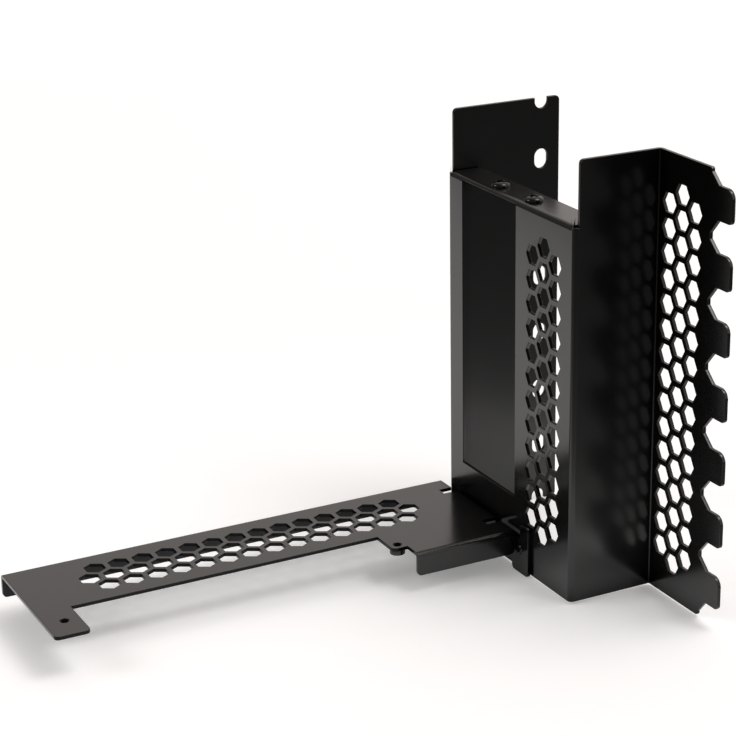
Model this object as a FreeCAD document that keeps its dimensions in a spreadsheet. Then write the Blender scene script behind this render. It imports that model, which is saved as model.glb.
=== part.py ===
import FreeCAD, Part
import math
import os
import re
import Sketcher

# Bracket that carries a graphics card upright behind the slot row of a computer case.
# One folded sheet (screw wall, front face, side wall, rear flange with tongues) holds
# the card's slot plate on its top flange, and a second folded sheet, the tray, holds
# the riser board in front of it. Millimetres, X towards the case's rear, Z up.
# Sizes are measured from the front face (x 0), the near face of the side wall (y 0)
# and the bottom edge (z 0). The finished part is then moved so that its origin lies
# in the middle of the line of slot screws, on the outer face of the screw wall.

SIZES = [
    ("sheet_thickness", 1.2, "steel sheet of bracket and tray"),
    ("bend_inside", 0.5, "inside radius of every fold"),
    ("corner_radius", 1.5, "rounded free corners of the sheets"),
    ("slot_pitch", 20.32, "distance between expansion slots"),
    ("slot_count", 7, "slots that the bracket covers"),
    ("end_margin", 0.33, "sheet beyond the first and the last slot screw"),
    ("wall_span", 77.8, "near face of the side wall to outer face of the screw wall"),
    ("side_wall_depth", 29.75, "front face to rear flange"),
    ("front_drop", 20.35, "top flange below the tops of the walls"),
    ("top_flange_depth", 11.1, "front face to the rear edge of the top flange"),
    ("fold_relief", 0.3, "gap between a flange and the fold beside it"),
    ("fold_slit", 0.6, "tops of the side folds below the top flange"),
    ("window_near_y", 34.4, "near edge of the socket window"),
    ("window_strip", 9.6, "sheet between the socket window and the screw wall's face"),
    ("window_sill", 23.6, "bottom of the socket window"),
    ("rear_flange_root", 26.5, "width of the rear flange between its tongues"),
    ("tongue_length", 10.45, "how far a tongue stands out of the rear flange"),
    ("tongue_height", 10.45, "height of a tongue at its shoulder"),
    ("tongue_ramp", 3.9, "how far a ramp reaches out of the root"),
    ("tongue_upper_ramp", 3.5, "height of the ramp above a tongue"),
    ("tongue_lower_ramp", 4.5, "height of the ramp below a tongue"),
    ("tongue_corner", 3.0, "radius of a tongue's upper tip corner"),
    ("tongue_heel", 1.5, "radius of a tongue's lower tip corner"),
    ("tongue_low_z", 5.8, "lower side of the lowest tongue"),
    ("comb_chamfer", 0.5, "cut corners at both ends of the row of tongues"),
    ("hex_flats", 6.2, "width of a hexagonal hole across its flats"),
    ("hex_web", 1.775, "sheet between two hexagonal holes of one line"),
    ("hex_column", 6.62, "distance between the lines of a honeycomb"),
    ("front_hex_y", 17.7, "middle column of holes, front face"),
    ("front_hex_z", 15.95, "lowest hole of the middle column, front face"),
    ("front_hex_top", 8.0, "least distance of the highest hole from the top flange"),
    ("rear_hex_y", 12.05, "middle column of holes, rear flange"),
    ("rear_hex_z", 11.55, "lowest hole of the middle column, rear flange"),
    ("rear_hex_top", 8.0, "least distance of the highest hole from the flange's top"),
    ("screw_hole_x", 34.7, "line of slot screw holes from the front face"),
    ("screw_edge", 6.9, "line of slot screw holes to the rear edge of the screw wall"),
    ("screw_hole_width", 5.0, "width of a slot screw hole"),
    ("screw_hole_height", 6.65, "height of a slot screw hole"),
    ("card_screw_x", 4.7, "card screws from the front face"),
    ("card_screw_y", 31.4, "card screw nearest to the side wall"),
    ("card_screw_shank", 3.5, "thread diameter of a card screw"),
    ("card_screw_length", 5.0, "length of a card screw under its head"),
    ("card_head_width", 6.8, "head diameter of a card screw"),
    ("card_head_height", 2.2, "head height of a card screw"),
    ("head_rim", 0.9, "straight rim of the screw heads"),
    ("head_taper", 1.0, "how far a head's top lies inside its rim"),
    ("recess_span", 3.4, "width of the cross recess"),
    ("recess_slot", 0.8, "width of one arm of the cross recess"),
    ("recess_depth", 1.1, "depth of the cross recess"),
    ("thread_clearance", 0.05, "radial gap between a thread and its hole"),
    ("riser_hole_x", 39.4, "inner riser hole from the front face"),
    ("riser_hole_y", 40.9, "line of riser holes from the side wall"),
    ("riser_hole_pitch", 111.6, "distance between the riser holes"),
    ("riser_thread", 3.0, "thread diameter of a riser hole"),
    ("collar_width", 5.0, "outer diameter of the drawn collar"),
    ("collar_drop", 1.7, "height of the collar under the tray"),
    ("tray_top_z", 12.8, "upper face of the tray"),
    ("tray_width", 32.9, "edge beside the riser board to the face of the far lip"),
    ("tray_lip", 7.9, "height of the tray's lips"),
    ("board_edge", 8.4, "riser holes to the edge beside the riser board"),
    ("ear_reach", 9.5, "riser holes to the near lip and the edge of the end ear"),
    ("ear_edge", 6.2, "outer riser hole to the free end"),
    ("end_ear_width", 11.2, "width of the ear at the free end"),
    ("step_edge", 2.9, "inner riser hole to the end of its step"),
    ("step_ledge", 2.6, "inner riser hole to the ledge of its step"),
    ("lip_setback", 2.3, "inner riser hole to the start of the near lip"),
    ("tray_end_gap", 0.3, "gap between the tray's end and its end flange"),
    ("relief_length", 6.2, "notches beside the end fold, from the front face"),
    ("relief_width", 3.5, "width of those notches"),
    ("near_notch_y", 9.5, "near lip to the near notch"),
    ("far_notch_y", 12.0, "far lip to the near side of the far notch"),
    ("end_flange_drop", 10.0, "height of the end flange"),
    ("foot_offset", 7.7, "near lip to the near edge of the end flange's foot"),
    ("foot_width", 10.0, "width of the foot"),
    ("foot_head_width", 5.0, "width of the foot beside the near lip"),
    ("foot_rise", 3.45, "top of the foot above the tray"),
    ("foot_depth", 13.7, "bottom of the foot below the tray's upper face"),
    ("tray_hex_y", 15.8, "middle row of holes from the edge beside the riser board"),
    ("tray_hex_x", 22.45, "last hole of the middle row from the front face"),
    ("tray_hex_end", 18.0, "least distance of the first hole from the free end"),
    ("tray_screw_drop", 5.35, "tray screws below the tray's upper face"),
    ("tray_screw_y", 8.6, "far notch to the far tray screw"),
    ("tray_screw_shank", 3.0, "thread diameter of a tray screw"),
    ("tray_screw_tip", 0.6, "how far a tray screw stands out of its thread"),
    ("tray_screw_room", 0.2, "radial gap round a tray screw in the bracket"),
    ("tray_head_width", 5.6, "head diameter of a tray screw"),
    ("tray_head_height", 2.0, "head height of a tray screw"),
]
NAMES = {name for name, value, note in SIZES}
TOUCH = 1e-7

# Sizes that follow from those above.
BEND_OUTSIDE = "(bend_inside + sheet_thickness)"
HEIGHT = "(slot_pitch * slot_count + 2 * end_margin)"
FRONT_HEIGHT = f"({HEIGHT} - front_drop)"
SCREW_WALL_DEPTH = "(screw_hole_x + screw_edge)"
HEX_PITCH = "(hex_flats + hex_web)"
FRONT_HEXES = f"(floor(({FRONT_HEIGHT} - front_hex_z - front_hex_top) / {HEX_PITCH}) + 1)"
REAR_HEXES = f"(floor(({HEIGHT} - rear_hex_z - rear_hex_top) / {HEX_PITCH}) + 1)"
TRAY_LENGTH = "(riser_hole_x + riser_hole_pitch + ear_edge)"
TRAY_HEXES = f"(floor(({TRAY_LENGTH} - tray_hex_x - tray_hex_end) / {HEX_PITCH}) + 1)"
TRAY_UNDER = "(tray_top_z - sheet_thickness)"
TRAY_END = "(sheet_thickness + tray_end_gap)"
TRAY_NEAR = "(riser_hole_y - ear_reach)"
TRAY_EDGE = "(riser_hole_y + board_edge)"
TRAY_FAR = f"({TRAY_EDGE} + tray_width)"
NEAR_NOTCH = f"({TRAY_NEAR} + near_notch_y)"
FAR_NOTCH = f"({TRAY_FAR} - far_notch_y)"
FOOT_NEAR = f"({TRAY_NEAR} - foot_offset)"
TRAY_SCREW_Z = "(tray_top_z - tray_screw_drop)"
TRAY_SCREW_YS = (f"{FOOT_NEAR} + foot_width / 2", f"{FAR_NOTCH} - tray_screw_y")


def bound(text):
    """Expression in which every size is read from the sheet."""
    return re.sub(r"[a-z_]+", lambda m: "sizes." + m[0] if m[0] in NAMES else m[0], text)


def make_sheet(doc):
    """Spreadsheet with one named row for each size."""
    sheet = doc.addObject("Spreadsheet::Sheet", "sizes")
    for row, (name, value, note) in enumerate(SIZES, start=1):
        sheet.set(f"A{row}", name)
        sheet.set(f"B{row}", str(value))
        sheet.set(f"C{row}", note)
        sheet.setAlias(f"B{row}", name)
    doc.recompute()
    return sheet


class Piece:
    """One sub-part: a body, its sketches and the features made from them."""

    def __init__(self, doc, label):
        self.doc = doc
        self.body = doc.addObject("PartDesign::Body", label)
        self.body.Label = label
        self.made = 0

    def origin(self, role):
        return next(f for f in self.body.Origin.OriginFeatures if f.Role == role)

    def name(self, kind):
        self.made += 1
        return f"{self.body.Label}_{kind}_{self.made}"

    def place(self, x, y, z, turn=None):
        """Moves the finished body from the drawing's corner to the part's origin."""
        if turn is not None:
            self.body.Placement.Rotation = turn
        self.body.setExpression("Placement.Base.x", bound(f"({x}) - screw_hole_x"))
        self.body.setExpression("Placement.Base.y", bound(f"({y}) - wall_span"))
        self.body.setExpression("Placement.Base.z", bound(f"({z}) - {HEIGHT} / 2"))

    def sketch(self, role, offset="0"):
        """Empty sketch on an origin plane, moved along the plane's normal."""
        sketch = self.body.newObject("Sketcher::SketchObject", self.name("sketch"))
        sketch.AttachmentSupport = [(self.origin(role), "")]
        sketch.MapMode = "FlatFace"
        sketch.setExpression("AttachmentOffset.Base.z", bound(offset))
        return sketch

    def fix(self, sketch, geometry, point, x=None, y=None):
        """Ties one point of the sketch to coordinates worked out from the sizes."""
        for kind, text in (("DistanceX", x), ("DistanceY", y)):
            if text is None:
                continue
            value = float(sketch.evalExpression(bound(text)))
            index = sketch.addConstraint(Sketcher.Constraint(kind, -1, 1, geometry, point, value))
            sketch.setExpression(f"Constraints[{index}]", bound(text))

    def outline(self, sketch, corners):
        """Closed outline through the corners; a third entry rounds a square corner."""
        spots = [FreeCAD.Vector(*(float(sketch.evalExpression(bound(t))) for t in c[:2]), 0) for c in corners]
        legs = []
        for i, corner in enumerate(corners):
            before = (spots[i] - spots[i - 1]).normalize()
            after = (spots[(i + 1) % len(spots)] - spots[i]).normalize()
            x, y = corner[:2]
            if len(corner) < 3:
                legs.append([(x, y)])
                continue
            r = corner[2]
            start = (f"({x}) - ({r}) * {round(before.x)}", f"({y}) - ({r}) * {round(before.y)}")
            end = (f"({x}) + ({r}) * {round(after.x)}", f"({y}) + ({r}) * {round(after.y)}")
            aside = after - before
            turn = (f"({x}) + ({r}) * {round(aside.x)}", f"({y}) + ({r}) * {round(aside.y)}")
            legs.append([start, end, turn, before.cross(after).z > 0])

        def spot(pair):
            return FreeCAD.Vector(*(float(sketch.evalExpression(bound(t))) for t in pair), 0)

        first = None
        last = None
        joined = len(legs[-1]) > 1 and (spot(legs[-1][1]) - spot(legs[0][0])).Length < TOUCH
        for i, leg in enumerate(legs):
            following = legs[(i + 1) % len(legs)]
            rounded = len(leg) > 1
            if rounded:
                start, end, turn, left = leg
                radius = (spot(start) - spot(turn)).Length
                circle = Part.Circle(spot(turn), FreeCAD.Vector(0, 0, 1), radius)
                a, b = (start, end) if left else (end, start)
                arc = Part.ArcOfCircle(circle, circle.parameter(spot(a)), circle.parameter(spot(b)))
                index = sketch.addGeometry(arc, False)
                head, tail = (1, 2) if left else (2, 1)
                self.fix(sketch, index, head, *start)
                self.fix(sketch, index, 3, *turn)
                if abs(spot(end).x - spots[i].x) > TOUCH:
                    self.fix(sketch, index, tail, end[0])
                else:
                    self.fix(sketch, index, tail, None, end[1])
                if last is not None:
                    sketch.addConstraint(Sketcher.Constraint("Coincident", *last, index, head))
                first = first or (index, head)
                last = (index, tail)
            begin = leg[1] if rounded else leg[0]
            if (spot(following[0]) - spot(begin)).Length < TOUCH:
                joined = rounded
                continue
            index = sketch.addGeometry(Part.LineSegment(spot(begin), spot(following[0])), False)
            if last is not None:
                sketch.addConstraint(Sketcher.Constraint("Coincident", *last, index, 1))
            if not rounded and not joined:
                self.fix(sketch, index, 1, *begin)
            joined = False
            first = first or (index, 1)
            last = (index, 2)
        sketch.addConstraint(Sketcher.Constraint("Coincident", *last, *first))
        return sketch

    def circle(self, sketch, x, y, width):
        """Round hole of the given diameter."""
        spot = FreeCAD.Vector(*(float(sketch.evalExpression(bound(t))) for t in (x, y)), 0)
        size = float(sketch.evalExpression(bound(width)))
        index = sketch.addGeometry(Part.Circle(spot, FreeCAD.Vector(0, 0, 1), size / 2), False)
        self.fix(sketch, index, 3, x, y)
        limit = sketch.addConstraint(Sketcher.Constraint("Diameter", index, size))
        sketch.setExpression(f"Constraints[{limit}]", bound(width))
        return sketch

    def hexagon(self, sketch, x, y, pointing_up):
        """Six-sided hole; pointing_up puts two of its corners above and below."""
        corners = []
        for k in range(6):
            angle = 60 * k + (30 if pointing_up else 0)
            reach = "hex_flats / sqrt(3)"
            corners.append((f"{x} + {reach} * cos({angle} deg)", f"{y} + {reach} * sin({angle} deg)"))
        return self.outline(sketch, corners)

    def solid(self, kind, sketch, length, reverse=False):
        """Pad or Pocket of the sketch; it has to change the volume."""
        before = self.body.Shape.Volume if self.body.Tip is not None else 0.0
        feature = self.body.newObject(f"PartDesign::{kind}", self.name(kind.lower()))
        feature.Profile = sketch
        feature.setExpression("Length", bound(length))
        feature.Reversed = reverse
        self.doc.recompute()
        change = self.body.Shape.Volume - before
        if change * (1 if kind == "Pad" else -1) <= 0:
            raise RuntimeError(f"{feature.Name} changes nothing")
        return feature

    def pad(self, sketch, length, reverse=False):
        return self.solid("Pad", sketch, length, reverse)

    def pocket(self, sketch, length, reverse=False):
        return self.solid("Pocket", sketch, length, reverse)

    def row(self, feature, axis, count, pitch, reverse=False):
        """Repeats a feature in a straight row."""
        pattern = self.body.newObject("PartDesign::LinearPattern", self.name("row"))
        pattern.Originals = [feature]
        pattern.Direction = (self.origin(axis), [""])
        pattern.Reversed = reverse
        pattern.setExpression("Occurrences", bound(count))
        pattern.setExpression("Length", bound(f"({pitch}) * (({count}) - 1)"))
        self.body.Tip = pattern
        self.doc.recompute()
        return pattern

    def dress(self, kind, size, spots):
        """Fillet or Chamfer of the straight edges that pass through the named points."""
        names = []
        for spot in spots:
            point = FreeCAD.Vector(*(float(self.body.evalExpression(bound(t))) for t in spot))
            near = [i for i, e in enumerate(self.body.Shape.Edges, start=1)
                    if e.distToShape(Part.Vertex(self.local(point)))[0] < 1e-4 and self.inner(e, point)]
            if len(near) != 1:
                raise RuntimeError(f"{len(near)} edges at {spot}")
            names.append(f"Edge{near[0]}")
        base = self.body.Tip
        feature = self.body.newObject(f"PartDesign::{kind}", self.name(kind.lower()))
        feature.Base = (base, names)
        feature.setExpression("Radius" if kind == "Fillet" else "Size", bound(size))
        self.doc.recompute()
        return feature

    def local(self, point):
        return self.body.Placement.multVec(point)

    def inner(self, edge, point):
        """True where the point lies within the edge and not at one of its ends."""
        ends = [v.Point for v in edge.Vertexes]
        return all((self.local(point) - end).Length > 1e-3 for end in ends)


def honeycomb(piece, role, offset, across, along, count, axis, reverse):
    """Three staggered lines of hexagonal holes; the middle line has one hole more."""
    aside = f"({along} + {HEX_PITCH} / 2)"
    outer = ((f"({across} - hex_column)", aside), (f"({across} + hex_column)", aside))
    middle = ((f"({across})", f"({along})"),)
    for lines, number in ((outer, f"{count} - 1"), (middle, count)):
        sketch = piece.sketch(role, offset)
        for side, start in lines:
            if axis == "X_Axis":
                piece.hexagon(sketch, start, side, True)
            else:
                piece.hexagon(sketch, side, start, False)
        hole = piece.pocket(sketch, "sheet_thickness", reverse)
        piece.row(hole, axis, number, HEX_PITCH)


def oval(piece, sketch, x, y, half_width, half_side):
    """Upright hole with straight sides and round ends."""
    up = FreeCAD.Vector(0, 0, 1)
    value = [float(sketch.evalExpression(bound(t))) for t in (x, y, half_width, half_side)]
    middle = FreeCAD.Vector(value[0], value[1], 0)
    wide = FreeCAD.Vector(value[2], 0, 0)
    tall = FreeCAD.Vector(0, value[3], 0)
    top = sketch.addGeometry(Part.ArcOfCircle(Part.Circle(middle + tall, up, value[2]), 0, math.pi), False)
    left = sketch.addGeometry(Part.LineSegment(middle + tall - wide, middle - tall - wide), False)
    low = sketch.addGeometry(
        Part.ArcOfCircle(Part.Circle(middle - tall, up, value[2]), math.pi, 2 * math.pi), False)
    right = sketch.addGeometry(Part.LineSegment(middle - tall + wide, middle + tall + wide), False)
    for a, b in ((top, left), (left, low), (low, right), (right, top)):
        sketch.addConstraint(Sketcher.Constraint("Tangent", a, 2, b, 1))
    piece.fix(sketch, top, 3, x, f"{y} + {half_side}")
    piece.fix(sketch, low, 3, None, f"{y} - {half_side}")
    piece.fix(sketch, top, 1, f"{x} + {half_width}")


def slot_bracket(doc):
    """Folded sheet with screw wall, front face, side wall and rear flange."""
    piece = Piece(doc, "slot_bracket")
    far_inside = "wall_span - sheet_thickness"
    rear_outside = "side_wall_depth + sheet_thickness"
    plan = piece.sketch("XY_Plane")
    piece.outline(plan, [
        (SCREW_WALL_DEPTH, "wall_span"),
        ("0", "wall_span", BEND_OUTSIDE),
        ("0", "0", BEND_OUTSIDE),
        ("side_wall_depth", "0", "bend_inside"),
        ("side_wall_depth", "-rear_flange_root"),
        (rear_outside, "-rear_flange_root"),
        (rear_outside, "sheet_thickness", BEND_OUTSIDE),
        ("sheet_thickness", "sheet_thickness", "bend_inside"),
        ("sheet_thickness", far_inside, "bend_inside"),
        (SCREW_WALL_DEPTH, far_inside),
    ])
    piece.pad(plan, HEIGHT)

    # The front face is lower than the walls on both sides of it, and lowest under the top flange's fold.
    fold_top = f"{FRONT_HEIGHT} - {BEND_OUTSIDE}"
    flange_start = f"({BEND_OUTSIDE} + fold_relief)"
    flange_width = f"wall_span - 2 * {flange_start}"
    for offset, width, low in (
            ("sheet_thickness", "wall_span + 2 * sheet_thickness", f"{FRONT_HEIGHT} - fold_slit"),
            (f"-{flange_start}", flange_width, fold_top)):
        above = piece.sketch("XZ_Plane", offset)
        piece.outline(above, [
            ("-sheet_thickness", low),
            (BEND_OUTSIDE, low),
            (BEND_OUTSIDE, f"{HEIGHT} + sheet_thickness"),
            ("-sheet_thickness", f"{HEIGHT} + sheet_thickness"),
        ])
        piece.pocket(above, width)

    # Top flange, folded to the rear between the two side folds.
    flange = piece.sketch("XZ_Plane", f"-{flange_start}")
    piece.outline(flange, [
        ("0", fold_top),
        ("0", FRONT_HEIGHT, BEND_OUTSIDE),
        ("top_flange_depth", FRONT_HEIGHT),
        ("top_flange_depth", f"{FRONT_HEIGHT} - sheet_thickness"),
        ("sheet_thickness", f"{FRONT_HEIGHT} - sheet_thickness", "bend_inside"),
        ("sheet_thickness", fold_top),
    ])
    piece.pad(flange, flange_width, True)

    # Free corners beside the lowered front face, and the rear corners of the screw wall.
    half = "sheet_thickness / 2"
    piece.dress("Fillet", "corner_radius", [
        (BEND_OUTSIDE, f"wall_span - {half}", HEIGHT),
        (BEND_OUTSIDE, half, HEIGHT),
        (SCREW_WALL_DEPTH, f"wall_span - {half}", HEIGHT),
        (SCREW_WALL_DEPTH, f"wall_span - {half}", "0"),
    ])

    # Window for the card's sockets, cut up to the underside of the top flange.
    window_far = "wall_span - window_strip"
    window = piece.sketch("YZ_Plane")
    piece.outline(window, [
        ("window_near_y", "window_sill"),
        (window_far, "window_sill"),
        (window_far, f"{FRONT_HEIGHT} - sheet_thickness"),
        ("window_near_y", f"{FRONT_HEIGHT} - sheet_thickness"),
    ])
    piece.pocket(window, BEND_OUTSIDE, True)

    # Rear flange with a row of tongues that hook into the slots of the case.
    piece.dress("Chamfer", "comb_chamfer", [
        (f"side_wall_depth + {half}", "-rear_flange_root", "0"),
        (f"side_wall_depth + {half}", "-rear_flange_root", HEIGHT),
    ])
    tongue = piece.sketch("YZ_Plane", "side_wall_depth")
    shoulder = "-rear_flange_root - tongue_ramp"
    tip = "-rear_flange_root - tongue_length"
    upper_side = "tongue_low_z + tongue_height"
    piece.outline(tongue, [
        ("-rear_flange_root", "tongue_low_z - tongue_lower_ramp"),
        ("-rear_flange_root", f"{upper_side} + tongue_upper_ramp"),
        (shoulder, upper_side),
        (tip, upper_side, "tongue_corner"),
        (tip, "tongue_low_z", "tongue_heel"),
        (shoulder, "tongue_low_z"),
    ])
    piece.row(piece.pad(tongue, "sheet_thickness"), "Z_Axis", "slot_count", "slot_pitch")

    # Slot screw holes; the first and the last one are open at the wall's edges.
    half_width = "screw_hole_width / 2"
    half_side = "(screw_hole_height - screw_hole_width) / 2"
    hole = piece.sketch("XZ_Plane", f"-({far_inside})")
    oval(piece, hole, "screw_hole_x", "end_margin", half_width, half_side)
    piece.row(piece.pocket(hole, "sheet_thickness"), "Z_Axis", "slot_count + 1", "slot_pitch")

    # Threads for the card's screws and clearance holes for the tray's screws.
    thread = piece.sketch("XY_Plane", FRONT_HEIGHT)
    piece.circle(thread, "card_screw_x", "card_screw_y", "card_screw_shank + 2 * thread_clearance")
    piece.row(piece.pocket(thread, "sheet_thickness"), "Y_Axis", "2", "slot_pitch")
    for y in TRAY_SCREW_YS:
        room = piece.sketch("YZ_Plane")
        piece.circle(room, y, TRAY_SCREW_Z, "tray_screw_shank + 2 * tray_screw_room")
        piece.pocket(room, "sheet_thickness", True)

    honeycomb(piece, "YZ_Plane", "0", "front_hex_y", "front_hex_z", FRONT_HEXES, "Z_Axis", True)
    rear = "side_wall_depth"
    honeycomb(piece, "YZ_Plane", rear, "-rear_hex_y", "rear_hex_z", REAR_HEXES, "Z_Axis", True)
    piece.place("0", "0", "0")
    return piece


def riser_tray(doc):
    """Folded sheet that carries the riser board, screwed to the front face."""
    piece = Piece(doc, "riser_tray")
    far_fold = f"{TRAY_FAR} - {BEND_OUTSIDE}"
    near_fold = f"{TRAY_NEAR} + {BEND_OUTSIDE}"
    free_end = f"-{TRAY_LENGTH}"
    ear_side = f"-{TRAY_LENGTH} + end_ear_width"
    step_end = "-riser_hole_x - step_edge"
    ledge = "riser_hole_y - step_ledge"
    lip_start = "-riser_hole_x + lip_setback"
    near_notch_far = f"{NEAR_NOTCH} + relief_width"
    far_notch_far = f"{FAR_NOTCH} + relief_width"
    plate = piece.sketch("XY_Plane", TRAY_UNDER)
    piece.outline(plate, [
        (free_end, far_fold),
        (free_end, TRAY_NEAR, "corner_radius"),
        (ear_side, TRAY_NEAR, "corner_radius"),
        (ear_side, TRAY_EDGE),
        (step_end, TRAY_EDGE),
        (step_end, ledge, "corner_radius"),
        (lip_start, ledge),
        (lip_start, near_fold),
        (f"-{TRAY_END}", near_fold),
        (f"-{TRAY_END}", NEAR_NOTCH),
        ("-relief_length", NEAR_NOTCH),
        ("-relief_length", near_notch_far),
        (f"-{BEND_OUTSIDE}", near_notch_far),
        (f"-{BEND_OUTSIDE}", FAR_NOTCH),
        ("-relief_length", FAR_NOTCH),
        ("-relief_length", far_notch_far),
        (f"-{TRAY_END}", far_notch_far),
        (f"-{TRAY_END}", far_fold),
    ])
    piece.pad(plate, "sheet_thickness")

    # Lips folded down along the far edge and along the near edge beside the end flange.
    lip_bottom = "tray_top_z - tray_lip"
    far_lip = piece.sketch("YZ_Plane", free_end)
    piece.outline(far_lip, [
        (far_fold, "tray_top_z"),
        (far_fold, TRAY_UNDER),
        (f"{TRAY_FAR} - sheet_thickness", TRAY_UNDER, "bend_inside"),
        (f"{TRAY_FAR} - sheet_thickness", lip_bottom),
        (TRAY_FAR, lip_bottom),
        (TRAY_FAR, "tray_top_z", BEND_OUTSIDE),
    ])
    piece.pad(far_lip, f"{TRAY_LENGTH} - {TRAY_END}")
    near_lip = piece.sketch("YZ_Plane", lip_start)
    piece.outline(near_lip, [
        (near_fold, "tray_top_z"),
        (TRAY_NEAR, "tray_top_z", BEND_OUTSIDE),
        (TRAY_NEAR, lip_bottom),
        (f"{TRAY_NEAR} + sheet_thickness", lip_bottom),
        (f"{TRAY_NEAR} + sheet_thickness", TRAY_UNDER, "bend_inside"),
        (near_fold, TRAY_UNDER),
    ])
    piece.pad(near_lip, f"-({lip_start}) - {TRAY_END}")
    half = "sheet_thickness / 2"
    piece.dress("Fillet", "corner_radius", [
        (free_end, f"{TRAY_FAR} - {half}", lip_bottom),
        (f"-{TRAY_END}", f"{TRAY_FAR} - {half}", lip_bottom),
        (lip_start, f"{TRAY_NEAR} + {half}", lip_bottom),
        (f"-{TRAY_END}", f"{TRAY_NEAR} + {half}", lip_bottom),
    ])

    # End flange against the front face, and the foot that takes its near screw.
    flange_bottom = "tray_top_z - end_flange_drop"
    fold = piece.sketch("XZ_Plane", f"-({near_notch_far})")
    piece.outline(fold, [
        (f"-{BEND_OUTSIDE}", "tray_top_z"),
        (f"-{BEND_OUTSIDE}", TRAY_UNDER),
        ("-sheet_thickness", TRAY_UNDER, "bend_inside"),
        ("-sheet_thickness", flange_bottom),
        ("0", flange_bottom),
        ("0", "tray_top_z", BEND_OUTSIDE),
    ])
    piece.pad(fold, f"{FAR_NOTCH} - ({near_notch_far})", True)
    web_top = f"tray_top_z - {BEND_OUTSIDE} - tray_end_gap"
    foot_far = f"{FOOT_NEAR} + foot_width"
    foot_top = "tray_top_z + foot_rise"
    foot_bottom = "tray_top_z - foot_depth"
    head_far = f"{FOOT_NEAR} + foot_head_width"
    foot = piece.sketch("YZ_Plane", "-sheet_thickness")
    piece.outline(foot, [
        (near_notch_far, web_top),
        (head_far, web_top),
        (head_far, foot_top, "corner_radius"),
        (FOOT_NEAR, foot_top, "corner_radius"),
        (FOOT_NEAR, foot_bottom, "corner_radius"),
        (foot_far, foot_bottom, "corner_radius"),
        (foot_far, flange_bottom),
        (near_notch_far, flange_bottom),
    ])
    piece.pad(foot, "sheet_thickness")

    # Drawn and tapped holes for the riser board's two screws.
    collar = piece.sketch("XY_Plane", TRAY_UNDER)
    piece.circle(collar, "-riser_hole_x", "riser_hole_y", "collar_width")
    piece.row(piece.pad(collar, "collar_drop", True), "X_Axis", "2", "riser_hole_pitch", True)
    thread = piece.sketch("XY_Plane", "tray_top_z")
    piece.circle(thread, "-riser_hole_x", "riser_hole_y", "riser_thread")
    thread_hole = piece.pocket(thread, "sheet_thickness + collar_drop")
    piece.row(thread_hole, "X_Axis", "2", "riser_hole_pitch", True)
    for y in TRAY_SCREW_YS:
        grip = piece.sketch("YZ_Plane", "-sheet_thickness")
        piece.circle(grip, y, TRAY_SCREW_Z, "tray_screw_shank + 2 * thread_clearance")
        piece.pocket(grip, "sheet_thickness", True)

    middle_row = f"{TRAY_EDGE} + tray_hex_y"
    first_hole = f"-tray_hex_x - {HEX_PITCH} * ({TRAY_HEXES} - 1)"
    honeycomb(piece, "XY_Plane", "tray_top_z", middle_row, first_hole, TRAY_HEXES, "X_Axis", False)
    piece.place("0", "0", "0")
    return piece


def pan_screw(doc, label, kind, length):
    """Pan head screw with a cross recess; its seat is at z 0 and it points down."""
    piece = Piece(doc, label)
    head_edge = f"{kind}_head_width / 2"
    thread_edge = f"{kind}_screw_shank / 2"
    half = piece.sketch("XZ_Plane")
    piece.outline(half, [
        ("0", f"-({length})"),
        (thread_edge, f"-({length})"),
        (thread_edge, "0"),
        (head_edge, "0"),
        (head_edge, "head_rim"),
        (f"{head_edge} - head_taper", f"{kind}_head_height"),
        ("0", f"{kind}_head_height"),
    ])
    turned = piece.body.newObject("PartDesign::Revolution", piece.name("revolution"))
    turned.Profile = half
    turned.ReferenceAxis = (half, ["V_Axis"])
    turned.Angle = 360
    doc.recompute()
    arm = "recess_span / 2"
    slot = "recess_slot / 2"
    cross = piece.sketch("XY_Plane", f"{kind}_head_height")
    quarter = [(arm, f"-{slot}"), (arm, slot), (slot, slot)]
    corners = []
    for turn in range(4):
        for x, y in quarter:
            for step in range(turn):
                x, y = f"-({y})", x
            corners.append((x, y))
    piece.outline(cross, corners)
    piece.pocket(cross, "recess_depth")
    return piece


def build():
    doc = FreeCAD.newDocument("vertical_card_bracket")
    make_sheet(doc)
    pieces = [slot_bracket(doc), riser_tray(doc)]
    for index in range(2):
        screw = pan_screw(doc, f"card_screw_{index + 1}", "card", "card_screw_length")
        screw.place("card_screw_x", f"card_screw_y + slot_pitch * {index}", FRONT_HEIGHT)
        pieces.append(screw)
    backwards = FreeCAD.Rotation(FreeCAD.Vector(0, 1, 0), 90)
    for index, y in enumerate(TRAY_SCREW_YS):
        screw = pan_screw(doc, f"tray_screw_{index + 1}", "tray", "2 * sheet_thickness + tray_screw_tip")
        screw.place("sheet_thickness", y, TRAY_SCREW_Z, backwards)
        pieces.append(screw)
    doc.recompute()
    for thing in doc.Objects:
        if "Invalid" in thing.State or "Error" in thing.State:
            raise RuntimeError(f"{thing.Name} failed: {thing.State}")
    os.makedirs("parts", exist_ok=True)
    for piece in pieces:
        shape = piece.body.Shape
        if shape.isNull() or not shape.isValid():
            raise RuntimeError(f"{piece.body.Label} has no valid shape")
    for piece in pieces:
        shape = piece.body.Shape
        shape.exportStep(f"parts/{piece.body.Label}.step")
        print(piece.body.Label, round(shape.Volume, 2), len(shape.Solids), shape.BoundBox)


build()
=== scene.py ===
import math

import bmesh
import bpy
from bpy.props import FloatProperty, FloatVectorProperty, IntProperty, PointerProperty
from bpy.types import Operator, Panel, PropertyGroup
from mathutils import Matrix, Vector


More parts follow.
